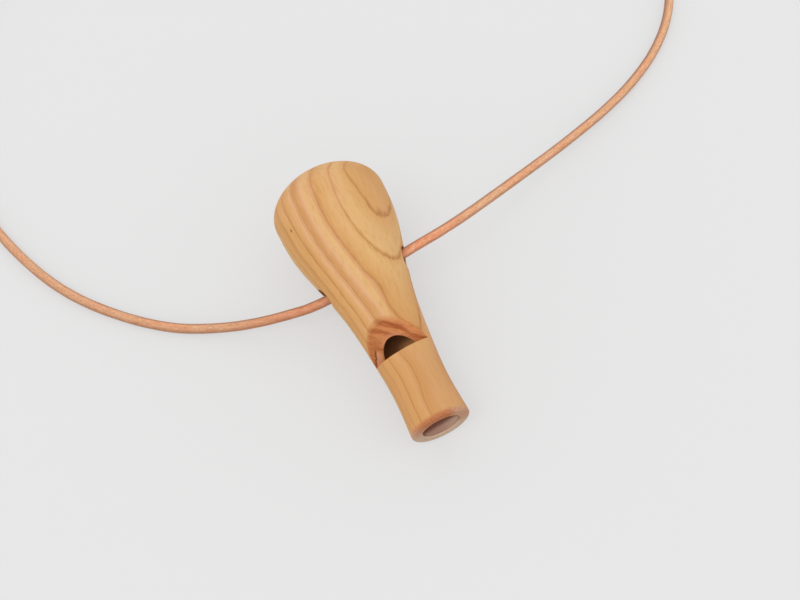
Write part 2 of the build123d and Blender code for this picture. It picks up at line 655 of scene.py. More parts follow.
@dataclass(frozen=True)
class OiledFlank:
    """The turned flank: honey-coloured rings with fibres, pores and thin latewood lines."""

    rings: GrowthRings = GrowthRings()
    patch: Grain = Grain(0.03, 0.16, detail=1.0)
    fibre: Grain = Grain(0.05, 1.0, 1.6, 3.0, 0.6)
    fine_fibre: Grain = Grain(0.09, 1.0, 7.0, 2.0, 0.6)
    strand: Grain = Grain(0.14, 1.0, 1.25, 4.0, 0.7)
    pore: Grain = Grain(0.25, 2.4, 3.0, 1.0)
    pore_levels: Span = (0.68, 0.76)
    patch_wash: Wash = Wash(paint(224, 168, 124), 0.5, 0.75, 0.45)
    fibre_wash: Wash = Wash(Tone.AMBER.value, 0.56, 0.8, 0.45)
    fine_fibre_wash: Wash = Wash(Tone.PALE.value, 0.5, 0.85, 0.3)
    strand_wash: Wash = Wash(Tone.AMBER.value, 0.48, 0.7, 0.5)
    between_strands_wash: Wash = Wash(Tone.BLUSH.value, 0.48, 0.28, 0.45)
    mouth_half_wash: Wash = Wash(Tone.AMBER.value, 44.0, 14.0, 0.6)
    pore_share: float = 0.28
    line_on_fibre: Change = (0.2, 0.7, 0.5, 1.0)
    line_to_the_right: Change = (2.0, -8.0, 0.65, 1.05)
    line_on_bulb: Change = (58.0, 78.0, 1.0, 0.65)

    def draw(self, place: WoodPlace) -> FlankGrain:
        """Draw the flank's grain.

        Args:
            place: the shaded point.

        Returns:
            The colour and the masks.
        """
        skin = place.skin
        fibre = place.grain(self.fibre)
        fine_fibre = place.grain(self.fine_fibre)
        strand = place.grain(self.strand)
        pore = place.grain(self.pore).rise(*self.pore_levels)
        position = self.rings.position(place)
        tone = skin.coats(
            skin.ramp(position, self.rings.tone_stops()),
            (place.grain(self.patch), self.patch_wash),
            (fibre, self.fibre_wash),
            (fine_fibre, self.fine_fibre_wash),
            (strand, self.strand_wash),
            (strand, self.between_strands_wash),
            (place.station, self.mouth_half_wash),
        )
        line = skin.ramp(position, self.rings.line_stops()) * fibre.rise(*self.line_on_fibre)
        line = line * place.left.rise(*self.line_to_the_right) * place.station.rise(*self.line_on_bulb)
        tone = skin.mix(line, tone, Tone.LATEWOOD.value)
        tone = skin.mix(pore * self.pore_share, tone, Tone.LATEWOOD.value)
        return FlankGrain(tone, fibre, fine_fibre, pore, line)


@dataclass(frozen=True)
class RampBand:
    """A dark band across the ramp: where it comes in and goes out up the ramp, and on which side."""

    comes: Span
    goes: Span
    side: Span
    share: float = 1.0

    def mask(self, crossing: Value, across: Value) -> Value:
        """Where the band lies."""
        up_ramp = crossing.rise(*self.comes) * crossing.rise(*self.goes)
        return up_ramp * across.rise(*self.side, 0.0, self.share)


@dataclass(frozen=True)
class Tear:
    """The short tear at the ramp's left end, with a pale sliver between it and the bore."""

    start: Span = (5.9, 4.48)
    turn: float = 45.1
    comes: Span = (-0.9, -0.1)
    goes: Span = (3.5, 2.6)
    waver: float = 0.7
    waver_scale: float = 1.3
    sliver: Colour = paint(226, 164, 122)
    sliver_near: Span = (-0.05, -0.3)
    sliver_far: Span = (-2.0, -1.4)
    sliver_share: float = 0.75
    shadow: Colour = paint(112, 56, 26)
    shadow_edge: Span = (0.3, 0.06)
    shadow_share: float = 0.9

    def draw(self, place: WoodPlace, tone: Value) -> Value:
        """Lay the tear on the ramp.

        Args:
            place: the shaded point.
            tone: the ramp's colour so far.

        Returns:
            The colour with the tear on it.
        """
        skin = place.skin
        turn = math.radians(self.turn)
        across = place.across - self.start[0]
        height = place.to_window - self.start[1]
        run = across * math.cos(turn) - height * math.sin(turn)
        off = across * math.sin(turn) + height * math.cos(turn)
        wavering = skin.noise(skin.vector(run, 0.0, 0.0), self.waver_scale)
        off = off + (wavering - NOISE_MIDDLE) * self.waver
        within = run.rise(*self.comes) * run.rise(*self.goes)
        sliver = off.rise(*self.sliver_near) * off.rise(*self.sliver_far) * within
        tone = skin.mix(sliver * self.sliver_share, tone, self.sliver)
        shadow = abs(off).rise(*self.shadow_edge) * within
        return skin.mix(shadow * self.shadow_share, tone, self.shadow)


@dataclass(frozen=True)
class CutGrain:
    """Wood cut across the grain: orange brown, on the ramp with dark bands and streaks across it."""

    # the pale tone between streaks, and a painted highlight along the lip
    lip: Colour = paint(222, 150, 112)
    slant: float = 0.75
    bands: Tuple[RampBand, ...] = (
        RampBand((7.9, 8.7), (10.5, 9.5), (-6.2, -4.2)),
        RampBand((5.2, 6.0), (7.4, 6.6), (-3.5, -1.5), 0.8),
        RampBand((6.8, 7.3), (8.5, 8.0), (-4.2, -5.2), 0.6),
    )
    band_on_streak: Span = (0.28, 0.5)
    band_share: float = 0.9
    streak: Grain = Grain(1.3, 0.22, detail=3.0, roughness=0.6)
    fine_streak: Grain = Grain(2.6, 0.5, detail=3.0, roughness=0.7)
    streak_wash: Wash = Wash(Tone.CUT_DARK.value, 0.5, 0.7, 0.4)
    fine_streak_wash: Wash = Wash(Tone.CUT_DARK.value, 0.52, 0.66, 0.45)
    between_streaks_wash: Wash = Wash(lip, 0.44, 0.3, 0.35)
    left_end: Span = (2.0, 4.5)
    left_end_on_streak: Span = (0.25, 0.5)
    left_end_share: float = 0.5
    lip_highlight_radius: Span = (6.5, 5.6)
    lip_highlight_height: Span = (4.4, 5.2)
    lip_highlight_share: float = 0.6
    line_share: float = 0.35
    speckle_levels: Change = (0.55, 0.75, 0.0, 0.3)
    ramp_end: Span = (44.0, 40.0)
    tear: Tear = Tear()

    def draw(self, place: WoodPlace, line: Value, speckle: Value) -> Value:
        """Draw the end grain of the ramp, and a plainer one on the blunt end.

        Args:
            place: the shaded point.
            line: mask of the latewood lines.
            speckle: fine noise.

        Returns:
            The colour.
        """
        skin, across, to_window = place.skin, place.across, place.to_window
        crossing = to_window - across * self.slant
        running = across + to_window * self.slant
        streak = skin.grain((crossing, running, 0.0), self.streak)
        fine_streak = skin.grain((crossing, running, 0.0), self.fine_streak)
        on_ramp = place.station.rise(*self.ramp_end)
        first, *others = [band.mask(crossing, across) for band in self.bands]
        band = first.most(*others) * streak.rise(*self.band_on_streak) * on_ramp
        tone = skin.coats(
            skin.mix(band * self.band_share, Tone.CUT.value, Tone.CUT_DARK.value),
            (streak, self.streak_wash),
            (fine_streak, self.fine_streak_wash),
            (fine_streak, self.between_streaks_wash),
        )
        left_end = across.rise(*self.left_end) * streak.rise(*self.left_end_on_streak) * on_ramp
        tone = skin.mix(left_end * self.left_end_share, tone, Tone.CUT_DARK.value)
        # painted highlight: paler along the lip where the ramp meets the bore
        lip = place.radius.rise(*self.lip_highlight_radius) * to_window.rise(*self.lip_highlight_height)
        tone = skin.mix(lip * self.lip_highlight_share, tone, self.lip)
        marks = line * self.line_share + speckle.rise(*self.speckle_levels)
        tone = skin.mix(marks, tone, Tone.CUT_DARK.value)
        return skin.mix(on_ramp, tone, self.tear.draw(place, tone))


@dataclass(frozen=True)
class MouthRim:
    """The mouth's rounded rim: reddish, with painted light making it pale below and on the right."""

    red: Colour = paint(190, 118, 78)
    # painted light: the pale tone of the rim's lower and right side, where the bright table lights it
    pale: Colour = paint(212, 188, 165)
    speckle_wash: Wash = Wash(Tone.CUT_DARK.value, 0.4, 0.7, 0.5)
    painted_light_below: Span = (7.0, -4.0)
    painted_light_right: Change = (-1.0, -4.5, 0.0, 0.5)
    painted_light_on_speckle: Change = (0.45, 0.7, 0.95, 0.6)

    def draw(self, place: WoodPlace, speckle: Value) -> Value:
        """Draw the rim's colour.

        Args:
            place: the shaded point.
            speckle: fine noise.

        Returns:
            The colour.
        """
        tone = place.skin.coats(self.red, (speckle, self.speckle_wash))
        # painted light, broken up by the speckle: paler below and on the right
        painted_light = place.up.rise(*self.painted_light_below).most(place.left.rise(*self.painted_light_right))
        return place.skin.mix(painted_light * speckle.rise(*self.painted_light_on_speckle), tone, self.pale)


@dataclass(frozen=True)
class DrilledInside:
    """The bore and the lace hole: wood darkened as painted shade, with a painted pool of light on the right
    below the window.
    """

    # painted shade: the inside is darker than the flank because little light reaches it
    painted_shade_tone: Colour = paint(140, 90, 58)
    # painted light: the pale patch where light through the window falls on the bore's right side
    pale: Colour = paint(226, 166, 108)
    painted_light_side: Span = (0.8, -3.2)
    painted_light_end: Span = (29.6, 27.2)

    def draw(self, place: WoodPlace) -> Value:
        """Draw the inside's colour: painted shade, and painted light where light falls in through the
        window.
        """
        # this mask places painted light, not a paler wood
        pale = place.left.rise(*self.painted_light_side) * place.station.rise(*self.painted_light_end)
        return place.skin.mix(pale, self.painted_shade_tone, self.pale)


@dataclass(frozen=True)
class Fleck:
    """One dark fleck on the left of the bulb: its station and offsets, and its half sizes."""

    station: float = 67.0
    left: float = 14.58
    up: float = 7.56
    half_length: float = 0.65
    half_width: float = 0.28
    edge: Change = (1.0, 0.35, 0.0, 0.85)
    colour: Colour = paint(92, 56, 28)

    def draw(self, place: WoodPlace, tone: Value) -> Value:
        """Lay the fleck on the bulb.

        Args:
            place: the shaded point.
            tone: the colour so far.

        Returns:
            The colour with the fleck on it.
        """
        skin, lathe = place.skin, place.lathe
        middle = lathe.point(self.station, self.left, self.up)
        along = skin.along(place.point, middle, lathe.axis)
        distance = skin.vector_math("DISTANCE", place.point, middle, output="Value")
        across_squared = distance ** 2 - along ** 2
        reach = across_squared / self.half_width ** 2 + (along / self.half_length) ** 2
        return skin.mix(reach.rise(*self.edge), tone, self.colour)


@dataclass(frozen=True)
class CutFaces:
    """Masks of the faces cut across the grain and of the drilled inside. Edges are in millimetres."""

    sizes: WhistleSizes
    bore_edge: float = 0.1
    drill_point: Span = (4.0, 5.0)
    ramp_face: Span = (0.35, 0.04)
    ramp_start: float = 0.05
    ramp_worn: Change = (9.5, 8.5, 0.4, 1.0)
    wall_face: Span = (0.08, 0.02)
    wall_foot: float = 0.2
    blunt_depth: float = 5.0
    blunt_share: float = 0.6
    rim_depth: Span = (1.9, 0.4)
    rim_inner_edge: Span = (-0.3, -0.1)
    inside_start: Span = (-0.1, 0.3)
    hole_edge: float = 0.4

    def _past_drill(self, place: WoodPlace) -> Value:
        """1 beyond the drill's point, 0 along the bore."""
        near, far = self.drill_point
        return place.station.rise(self.sizes.bore_depth + near, self.sizes.bore_depth + far)

    def notch(self, place: WoodPlace) -> Value:
        """The notch's ramp and wall, and the blunt end.

        Args:
            place: the shaded point.

        Returns:
            The mask.
        """
        sizes, station, to_window = self.sizes, place.station, place.to_window
        ramp_height = (station - sizes.wall_station) * sizes.ramp_rise + sizes.notch_floor
        off_ramp = abs(to_window - ramp_height) * math.cos(math.radians(sizes.ramp_angle))
        past_wall = station.rise(sizes.wall_station - self.ramp_start, sizes.wall_station + self.ramp_start)
        ramp = off_ramp.rise(*self.ramp_face) * past_wall * place.radius.rise(*self.ramp_worn)
        lean = math.tan(math.radians(sizes.wall_lean))
        off_wall = abs(station - (sizes.wall_station - (to_window - sizes.notch_floor) * lean))
        above_foot = to_window.rise(sizes.notch_floor - self.wall_foot, sizes.notch_floor)
        wall = off_wall.rise(*self.wall_face) * above_foot
        blunt_end = station.rise(sizes.length - self.blunt_depth, sizes.length, 0.0, self.blunt_share)
        off_bore = place.radius.rise(sizes.bore_radius - self.bore_edge, sizes.bore_radius + self.bore_edge)
        return ramp.most(wall, blunt_end) * off_bore.most(self._past_drill(place))

    def rim(self, place: WoodPlace) -> Value:
        """The mouth's rim."""
        start, full = self.rim_inner_edge
        bore = self.sizes.bore_radius
        return place.station.rise(*self.rim_depth) * place.radius.rise(bore + start, bore + full)

    def inside(self, place: WoodPlace) -> Value:
        """The bore behind the block's end, and the lace hole.

        Args:
            place: the shaded point.

        Returns:
            The mask.
        """
        sizes, skin, lathe = self.sizes, place.skin, place.lathe
        from_hole = skin.vector_math("SUBTRACT", place.point, lathe.hole_centre)
        crossed = skin.vector_math("CROSS_PRODUCT", from_hole, lathe.hole_direction)
        off_hole = skin.vector_math("LENGTH", crossed, output="Value")
        hole = off_hole.rise(sizes.hole_radius + self.hole_edge, sizes.hole_radius)
        start, full = self.inside_start
        behind_end = place.station.rise(sizes.block_recess + start, sizes.block_recess + full)
        bore = place.radius.rise(sizes.bore_radius + self.bore_edge, sizes.bore_radius)
        return (bore * (1.0 - self._past_drill(place)) * behind_end).most(hole)


@dataclass(frozen=True)
class WhistleWood:
    """The whole finish of the turned body: oiled flank, cut grain, rim, inside and fleck."""

    flank: OiledFlank = OiledFlank()
    cut: CutGrain = CutGrain()
    rim: MouthRim = MouthRim()
    inside: DrilledInside = DrilledInside()
    fleck: Fleck = Fleck()
    speckle_scale: float = 1.7
    speckle_detail: float = 3.0
    speckle_roughness: float = 0.65
    cut_share: float = 0.95
    rim_share: float = 0.9
    inside_share: float = 0.85
    roughness: float = 0.52
    cut_roughness: float = 0.65
    fibre_roughness: float = 0.12
    fine_fibre_height: float = 0.6
    fibre_height: float = 0.4
    pore_depth: float = 0.5
    line_depth: float = 0.3
    relief: Relief = Relief(0.06 * MM, 0.6, 0.15)

    def material(self, sizes: WhistleSizes, lathe: LatheFrame) -> bpy.types.Material:
        """Oiled wood whose rings run through the solid, redder and darker where the grain is cut across.

        Args:
            sizes: the whistle's sizes.
            lathe: where the whistle lies.

        Returns:
            The material.
        """
        skin = Surface("oiled_wood")
        place = WoodPlace(skin, lathe)
        faces = CutFaces(sizes)
        notch, rim, inside = faces.notch(place), faces.rim(place), faces.inside(place)
        speckle = skin.noise(place.point, self.speckle_scale, self.speckle_detail, self.speckle_roughness)
        grain = self.flank.draw(place)
        tone = skin.mix(notch * self.cut_share, grain.tone, self.cut.draw(place, grain.line, speckle))
        tone = skin.mix(rim * self.rim_share, tone, self.rim.draw(place, speckle))
        tone = skin.mix(inside * self.inside_share, tone, self.inside.draw(place))
        tone = self.fleck.draw(place, tone)
        rough = notch.most(rim, inside) * (self.cut_roughness - self.roughness) + self.roughness
        rough = rough + (grain.fibre - NOISE_MIDDLE) * self.fibre_roughness
        height = grain.fine_fibre * self.fine_fibre_height + grain.fibre * self.fibre_height
        height = height - grain.pore * self.pore_depth - grain.line * self.line_depth
        return skin.dress(tone, rough, height, self.relief)


@dataclass(frozen=True)
class BlockDowel:
    """The block's dowel: mauve-brown end grain with fine rings, painted shade by the windway, painted light
    to the right.
    """

    plain: Colour = paint(180, 138, 120)
    ring_heart: Span = (-9.0, 14.0)
    ring_width: float = 0.55
    ring_drift: Grain = Grain(0.05, 0.3)
    ring_drift_shift: float = 1.2
    speckle: Grain = Grain(0.1, 1.0, 4.0, 3.0, 0.65)
    ring_wash: Wash = Wash(paint(154, 102, 82), 0.2, 1.0, 0.6)
    speckle_wash: Wash = Wash(paint(146, 96, 70), 0.5, 0.75, 0.5)
    # painted light: the block's end grows paler towards the right
    painted_light_right_wash: Wash = Wash(paint(196, 160, 138), 1.0, -4.0, 0.6)
    # painted shade: the block's end grows darker towards the windway, under the bore's rim
    painted_shade_by_windway_wash: Wash = Wash(paint(116, 78, 62), -1.9, -0.3, 0.6)
    # painted shade: the windway floor under the bore's roof, which little light reaches
    windway_shade: Colour = paint(132, 88, 68)
    windway_shade_edge: Span = (-0.34, -0.26)
    windway_shade_start: Span = (0.04, 0.14)
    windway_shade_share: float = 0.9
    roughness: float = 0.6
    speckle_roughness: float = 0.2
    relief: Relief = Relief(0.1 * MM, 0.6, 0.3)

    def material(self, sizes: WhistleSizes, lathe: LatheFrame) -> bpy.types.Material:
        """A plain dowel seen on its end grain.

        Args:
            sizes: the whistle's sizes.
            lathe: where the whistle lies.

        Returns:
            The material.
        """
        skin = Surface("block_dowel")
        place = WoodPlace(skin, lathe)
        heart_left, heart_up = self.ring_heart
        from_heart = ((place.left - heart_left) ** 2 + (place.up - heart_up) ** 2) ** 0.5
        ring = from_heart + place.grain(self.ring_drift) * self.ring_drift_shift
        band = skin.math("PINGPONG", ring, self.ring_width) / self.ring_width
        speckle = place.grain(self.speckle)
        from_end = place.station - sizes.block_recess
        flat_height = from_end * sizes.flat_rise + (sizes.bore_radius - sizes.windway_entry)
        above_flat = place.to_window - flat_height
        tone = skin.coats(
            self.plain,
            (band, self.ring_wash),
            (speckle, self.speckle_wash),
            (place.left, self.painted_light_right_wash),
            (above_flat, self.painted_shade_by_windway_wash),
        )
        # this mask lays painted shade on the block's flat inside the windway
        windway_shade = above_flat.rise(*self.windway_shade_edge) * from_end.rise(*self.windway_shade_start)
        tone = skin.mix(windway_shade * self.windway_shade_share, tone, self.windway_shade)
        rough = speckle * self.speckle_roughness + self.roughness
        return skin.dress(tone, rough, speckle, self.relief)


@dataclass
class Whistle:
    """The turned body and the block in its bore."""

    sizes: WhistleSizes = WhistleSizes()
    wood: WhistleWood = WhistleWood()
    dowel: BlockDowel = BlockDowel()
    lathe: LatheFrame = field(init=False)

    def __post_init__(self) -> None:
        """Find the body in the frame."""
        self.lathe = LatheFrame.from_record(frame["record"], self.sizes)

    def build(self) -> List[bpy.types.Object]:
        """Dress the body and its block.

        Returns:
            The two nodes.
        """
        dressed = []
        for name, finish in (("whistle_body", self.wood), ("fipple_block", self.dowel)):
            node = frame["nodes"][name]
            node.data.materials.clear()
            node.data.materials.append(finish.material(self.sizes, self.lathe))
            dressed.append(node)
        return dressed


# The lace

@dataclass(frozen=True)
class RoundLeather:
    """Raw round leather lace: salmon tan, scuffed pale, darker in its creases, with painted shade down its
    sides and underneath.
    """

    tan: Colour = paint(234, 178, 134)
    pale: Colour = paint(246, 206, 172)
    red: Colour = paint(242, 158, 112)
    # the darker tone of the creases and pits, and painted shade on the far sides and underneath
    crease_and_shade: Colour = paint(156, 106, 80)
    patch: Grain = Grain(0.09, 0.3)
    streak: Grain = Grain(0.3, 1.6, 1.4, 3.0, 0.65)
    pit: Grain = Grain(0.9, 1.5, 1.9, 4.0, 0.75)
    sheen: Grain = Grain(0.5, 1.0)
    far_wash: Wash = Wash(tan, 20.0, 46.0, 0.9)
    patch_wash: Wash = Wash(red, 0.52, 0.66, 0.4)
    streak_wash: Wash = Wash(pale, 0.46, 0.68, 0.5)
    # painted shade by which way the surface faces: darker on its far sides and underneath
    away_side_shade_wash: Wash = Wash(crease_and_shade, 0.0, 0.6, 0.75)
    left_side_shade_wash: Wash = Wash(crease_and_shade, -0.1, 0.4, 0.3)
    underside_shade_wash: Wash = Wash(crease_and_shade, 0.8, 0.3, 0.45)
    between_streaks_wash: Wash = Wash(crease_and_shade, 0.46, 0.3, 0.4)
    pit_wash: Wash = Wash(crease_and_shade, 0.52, 0.64, 0.6)
    roughness: float = 0.45
    sheen_roughness: float = 0.25
    pit_depth: float = 0.5
    streak_depth: float = 0.5
    relief: Relief = Relief(0.12 * MM, 0.7, 0.3)

    def material(self) -> bpy.types.Material:
        """Leather drawn in the lace's own straightened coordinates.

        Returns:
            The material.
        """
        skin = Surface("round_leather")
        place = skin.parts(skin.attribute(LaceTube.PLACE))
        # the normal's parts, used for painted shade on the sides and underneath
        away, left, top = skin.parts(skin.attribute(LaceTube.NORMAL))
        streak = skin.grain(place, self.streak)
        pit = skin.grain(place, self.pit)
        tone = skin.coats(
            self.red,
            (place[0], self.far_wash),
            (skin.grain(place, self.patch), self.patch_wash),
            (streak, self.streak_wash),
            (away, self.away_side_shade_wash),
            (left, self.left_side_shade_wash),
            (top, self.underside_shade_wash),
            (streak, self.between_streaks_wash),
            (pit, self.pit_wash),
        )
        rough = skin.grain(place, self.sheen) * self.sheen_roughness + self.roughness
        height = pit * self.pit_depth + streak * self.streak_depth
        return skin.dress(tone, rough, height, self.relief)


class GeometrySketch(NodeSketch):
    """A geometry node tree with named inputs."""

    def __init__(self, name: str) -> None:
        """Start a tree with one geometry in and one out.

        Args:
            name: the tree's name.
        """
        tree = bpy.data.node_groups.new(name, "GeometryNodeTree")
        tree.interface.new_socket("Geometry", in_out="INPUT", socket_type="NodeSocketGeometry")
        tree.interface.new_socket("Geometry", in_out="OUTPUT", socket_type="NodeSocketGeometry")
        super().__init__(tree)
        self.given = tree.nodes.new("NodeGroupInput")
        self.result = tree.nodes.new("NodeGroupOutput")

    def geometry(self) -> Value:
        """The geometry that comes in."""
        return Value(self, self.given.outputs[0])

    def input(self, name: str, kind: str) -> Value:
        """Add a named input of that socket type."""
        self.tree.interface.new_socket(name, in_out="INPUT", socket_type=kind)
        return Value(self, self.given.outputs[name])

    def identifier(self, name: str) -> str:
        """The identifier of a named input."""
        items = self.tree.interface.items_tree
        return next(item.identifier for item in items if item.name == name and item.in_out == "INPUT")

    def store(self, geometry: Value, kind: str, name: str, value: Value) -> Value:
        """Store a value on each point under a name.

        Args:
            geometry: the geometry.
            kind: the value's data type.
            name: the name.
            value: the value.

        Returns:
            The geometry with the value on it.
        """
        settings = {"data_type": kind, "domain": "POINT"}
        sockets = {"Geometry": geometry, "Name": name, "Value": value}
        return self.node("GeometryNodeStoreNamedAttribute", settings, sockets)

    def stored(self, kind: str, name: str) -> Value:
        """What is stored under that name."""
        settings = {"data_type": kind}
        return self.node("GeometryNodeInputNamedAttribute", settings, {"Name": name}, "Attribute")

    def close(self, geometry: Value) -> None:
        """Send a geometry to the output."""
        self.tree.links.new(geometry.socket, self.result.inputs[0])


class LaceTube:
    """Geometry nodes that sweep a slightly uneven round along a line of points."""

    PLACE = "lace_place"
    NORMAL = "lace_normal"
    RUN = "lace_run"
    RING = "lace_ring"
    UNEVEN_SCALE = 0.23

    def __init__(self) -> None:
        """Build the tree once."""
        sketch = GeometrySketch("lace_tube")
        self.sketch = sketch
        tube = self._uneven(self._swept())
        tube = sketch.node("GeometryNodeSetShadeSmooth", None, {"Geometry": tube, "Shade Smooth": True})
        tube = sketch.node("GeometryNodeRealizeInstances", None, {"Geometry": tube})
        material = sketch.input("Material", "NodeSocketMaterial")
        tube = sketch.node("GeometryNodeSetMaterial", None, {"Geometry": tube, "Material": material})
        sketch.close(tube)

    def _swept(self) -> Value:
        """Nodes that sweep an even tube and keep each point's run and its place in the round.

        Returns:
            The tube.
        """
        sketch = self.sketch
        step = sketch.input("Step", "NodeSocketFloat")
        start = sketch.input("Start", "NodeSocketFloat")
        line = sketch.node("GeometryNodeMeshToCurve", None, {0: sketch.geometry()})
        line = sketch.node("GeometryNodeResampleCurve", {"mode": "LENGTH"}, {"Curve": line, "Length": step})
        run = sketch.node("GeometryNodeSplineParameter", output="Length") + start
        line = sketch.store(line, "FLOAT", self.RUN, run)
        round_inputs = {
            "Resolution": sketch.input("Sides", "NodeSocketInt"),
            "Radius": sketch.input("Radius", "NodeSocketFloat"),
        }
        ring = sketch.node("GeometryNodeCurvePrimitiveCircle", {"mode": "RADIUS"}, round_inputs, "Curve")
        ring = sketch.store(ring, "FLOAT_VECTOR", self.RING, sketch.node("GeometryNodeInputPosition"))
        sweep = {"Curve": line, "Profile Curve": ring, "Fill Caps": True}
        return sketch.node("GeometryNodeCurveToMesh", None, sweep)

    def _uneven(self, tube: Value) -> Value:
        """Nodes that store the straightened place and the normal, and swell the tube unevenly.

        Args:
            tube: the even tube.

        Returns:
            The uneven tube.
        """
        sketch = self.sketch
        swell = sketch.input("Swell", "NodeSocketFloat")
        side, rise, _ = sketch.parts(sketch.stored("FLOAT_VECTOR", self.RING))
        place = sketch.vector(sketch.stored("FLOAT", self.RUN) / MM, side / MM, rise / MM)
        normal = sketch.node("GeometryNodeInputNormal")
        tube = sketch.store(tube, "FLOAT_VECTOR", self.PLACE, place)
        tube = sketch.store(tube, "FLOAT_VECTOR", self.NORMAL, normal)
        uneven = (sketch.noise(place, self.UNEVEN_SCALE) - NOISE_MIDDLE) / NOISE_MIDDLE
        offset = sketch.scaled(normal, uneven * swell)
        return sketch.node("GeometryNodeSetPosition", None, {"Geometry": tube, "Offset": offset})

    def sweep(self, name: str, points: Sequence[Vector], inputs: Dict[str, Any]) -> bpy.types.Mesh:
        """Sweep the tube along points and return a plain mesh.

        Args:
            name: name of the mesh.
            points: the line, in metres.
            inputs: values of the tree's named inputs.

        Returns:
            The tube's mesh.
        """
        line = bpy.data.meshes.new(name + "_line")
        edges = [(index, index + 1) for index in range(len(points) - 1)]
        line.from_pydata([tuple(point) for point in points], edges, [])
        carrier = linked(name + "_line", line)
        modifier = carrier.modifiers.new("lace_tube", "NODES")
        modifier.node_group = self.sketch.tree
        for key, given in inputs.items():
            modifier[self.sketch.identifier(key)] = given
        mesh = evaluated_mesh(carrier)
        mesh.name = name
        bpy.data.objects.remove(carrier)
        bpy.data.meshes.remove(line)
        return mesh


@dataclass(frozen=True)
class SquareKnot:
    """Where the square knot lies on the table and how its strands run, in millimetres and degrees.

    A strand's points are along the knot, across it and above its middle: from its leg into the bight,
    round the other strand's end, and back out to its tail.
    """

    x: float = 149.5
    y: float = -15.0
    heading: float = 69.0
    length: float = 14.0
    height: float = 5.8
    strand_offset: float = 1.6
    lead: float = 11.0
    bight_reach: float = 5.5
    strand_leg: Tuple[Point, ...] = ((7.0, 1.6, -1.5), (6.2, 1.6, -0.4))
    strand_in: Tuple[Point, ...] = (
        (5.0, 1.6, 1.6), (2.9, 1.7, 1.7), (1.1, 2.5, -0.2), (-0.5, 3.3, -1.7),
        (-2.2, 4.1, -0.9), (-3.9, 3.7, 0.9), (-4.3, 1.9, 1.6),
    )
    strand_bend: Point = (-4.3, 0.0, 1.6)
    strand_tail: Tuple[Point, ...] = (
        (7.2, -1.9, 0.2), (9.4, -2.5, -1.2), (12.4, -3.3, -1.5), (15.4, -4.1, -1.5), (18.2, -4.9, -1.5),
    )

    def point(self, along: float, across: float, height: float) -> Point:
        """A table point from the knot's own directions.

        Args:
            along: distance along the knot from its middle.
            across: distance across it.
            height: height above the table.

        Returns:
            The point.
        """
        angle = math.radians(self.heading)
        x = self.x + along * math.cos(angle) - across * math.sin(angle)
        y = self.y + along * math.sin(angle) + across * math.cos(angle)
        return x, y, height

    def strand(self, high: bool, lace_radius: float) -> List[Point]:
        """Control points of one strand, from its leg to the end of its tail.

        Args:
            high: whether the strand enters above the other.
            lace_radius: the lace's radius.

        Returns:
            The points, on the table.
        """
        middle = self.height / 2
        resting = lace_radius - middle
        strand_out = tuple((x, -y, z) for x, y, z in reversed(self.strand_in))
        path = self.strand_leg + self.strand_in + (self.strand_bend,) + strand_out + self.strand_tail
        points = []
        for x, y, z in path:
            if high:
                points.append(self.point(x, y, middle + max(z, resting)))
            else:
                below = max(-z, resting) if abs(x) < self.bight_reach else resting
                points.append(self.point(-x, y, middle + below))
        return points


